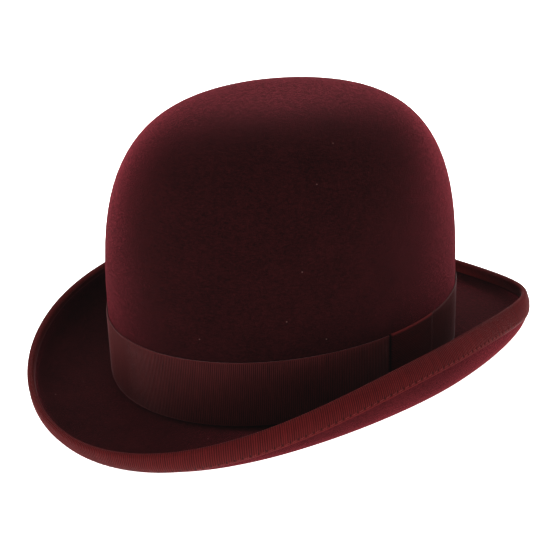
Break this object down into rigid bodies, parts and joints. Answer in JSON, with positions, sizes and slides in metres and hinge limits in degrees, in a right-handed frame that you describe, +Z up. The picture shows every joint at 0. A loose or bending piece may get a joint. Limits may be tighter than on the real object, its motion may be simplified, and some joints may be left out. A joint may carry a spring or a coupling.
{
  "type": "bowler hat",
  "caption": "Bowler hat with a domed felt crown, a brim curled up at the sides, a ribbon band with a keeper tab and a ribbon-bound edge.",
  "frame": {"origin": "on the surface that the hat stands on, under the middle of its bounding box", "axes": "+Z up through the crown; the forehead faces -Y; the wearer's left side, with the band keeper, faces +X"},
  "size_m": [0.2288, 0.2969, 0.1481],
  "materials": {
    "burgundy_felt": "matt felt with a short velvety nap",
    "burgundy_ribbon": "ribbed ribbon with a low satin sheen"
  },
  "bodies": {
    "root": {"felt_body": "burgundy_felt", "hat_band": "burgundy_ribbon", "band_keeper": "burgundy_ribbon", "brim_binding": "burgundy_ribbon"}
  },
  "joints": []
}
